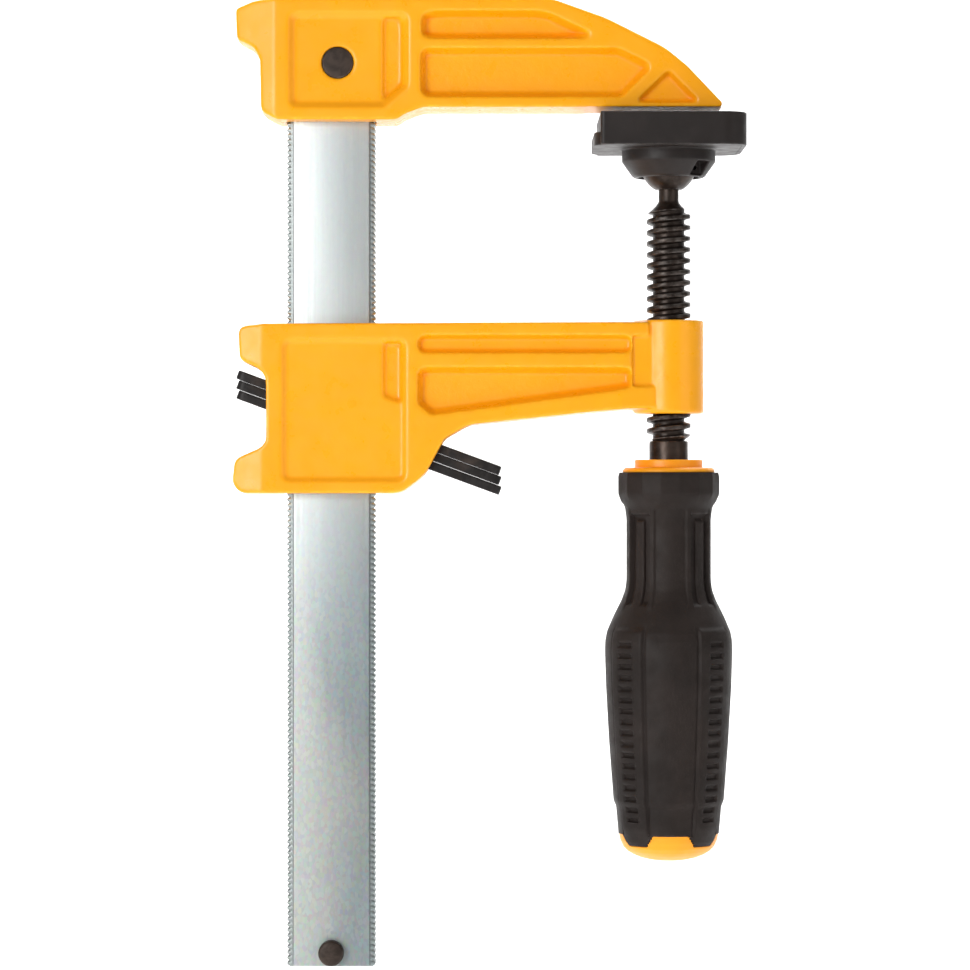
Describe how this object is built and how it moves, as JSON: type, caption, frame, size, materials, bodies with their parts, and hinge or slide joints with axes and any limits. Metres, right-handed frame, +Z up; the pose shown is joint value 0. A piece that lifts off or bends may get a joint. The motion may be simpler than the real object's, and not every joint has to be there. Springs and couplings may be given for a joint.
{
  "type": "f clamp",
  "caption": "Bar clamp with a cast fixed head, a sliding arm held by clutch plates, a screw with a moulded grip and a swivel pad.",
  "frame": {"origin": "on the screw's axis, in the plane of the fixed jaw's flat face", "axes": "+Z up along the bar towards the head, +X from the bar towards the screw, +Y through the castings' thickness"},
  "size_m": [0.1471, 0.042, 0.2779],
  "materials": {
    "bar_steel": "zinc plated, fine spangle",
    "cast_paint": "glossy yellow enamel over cast iron",
    "dark_steel": "blackened rivet",
    "plate_steel": "black oxide plate",
    "screw_steel": "oiled black oxide",
    "spring_steel": "bright steel",
    "pad_plastic": "fine matt black plastic",
    "core_plastic": "satin yellow plastic",
    "grip_rubber": "soft matt black overmould"
  },
  "bodies": {
    "frame": {"bar": "bar_steel", "fixed_head": "cast_paint", "head_pin": "dark_steel", "stop_pin": "dark_steel"},
    "arm": {"sliding_arm": "cast_paint", "clutch_spring": "spring_steel"},
    "clutch_top": {"clutch_plate_top": "plate_steel"},
    "clutch_middle": {"clutch_plate_middle": "plate_steel"},
    "clutch_bottom": {"clutch_plate_bottom": "plate_steel"},
    "swivel": {"swivel_ball": "screw_steel"},
    "screw": {"spindle": "screw_steel", "handle_core": "core_plastic", "handle_grip": "grip_rubber", "handle_pin": "spring_steel"},
    "thrust": {"thrust_cap": "spring_steel"},
    "retainer": {"ball_retainer": "spring_steel"},
    "pad": {"pad_body": "pad_plastic", "pad_face": "pad_plastic"}
  },
  "joints": [
    {"name": "arm_slide", "type": "slide", "parent": "frame", "child": "arm", "axis": [0, 0, 1], "range_m": [-0.1275, 0]},
    {"name": "clutch_release", "type": "hinge", "parent": "arm", "child": "clutch_top", "pos_m": [-0.114, 0, -0.07873], "axis": [0, -1, 0], "range_deg": [0, 7], "stiffness_Nm_per_rad": 0.4, "springref_deg": -14.32, "deforming": ["clutch_spring"]},
    {"name": "clutch_release_middle", "type": "hinge", "parent": "arm", "child": "clutch_middle", "pos_m": [-0.114, 0, -0.08159], "axis": [0, -1, 0], "range_deg": [0, 7]},
    {"name": "clutch_release_bottom", "type": "hinge", "parent": "arm", "child": "clutch_bottom", "pos_m": [-0.114, 0, -0.08445], "axis": [0, -1, 0], "range_deg": [0, 7]},
    {"name": "screw_advance", "type": "slide", "parent": "arm", "child": "swivel", "axis": [0, 0, -1], "range_m": [0, 0.0366]},
    {"name": "screw_turn", "type": "hinge", "parent": "swivel", "child": "screw", "pos_m": [0, 0, -0.05], "axis": [0, 0, -1], "range_deg": [0, 4140]},
    {"name": "pad_spin", "type": "hinge", "parent": "swivel", "child": "thrust", "pos_m": [0, 0, -0.016], "axis": [0, 0, 1], "continuous": true},
    {"name": "pad_tilt_front", "type": "hinge", "parent": "thrust", "child": "retainer", "pos_m": [0, 0, -0.016], "axis": [1, 0, 0], "range_deg": [-5.5, 5.5]},
    {"name": "pad_tilt_side", "type": "hinge", "parent": "retainer", "child": "pad", "pos_m": [0, 0, -0.016], "axis": [0, 1, 0], "range_deg": [-5.5, 5.5]}
  ],
  "couplings": [
    {"joint": "clutch_release_middle", "follows": "clutch_release", "ratio": 1},
    {"joint": "clutch_release_bottom", "follows": "clutch_release", "ratio": 1},
    {"joint": "screw_advance", "follows": "screw_turn", "m_per_rad": 0.00050532}
  ]
}
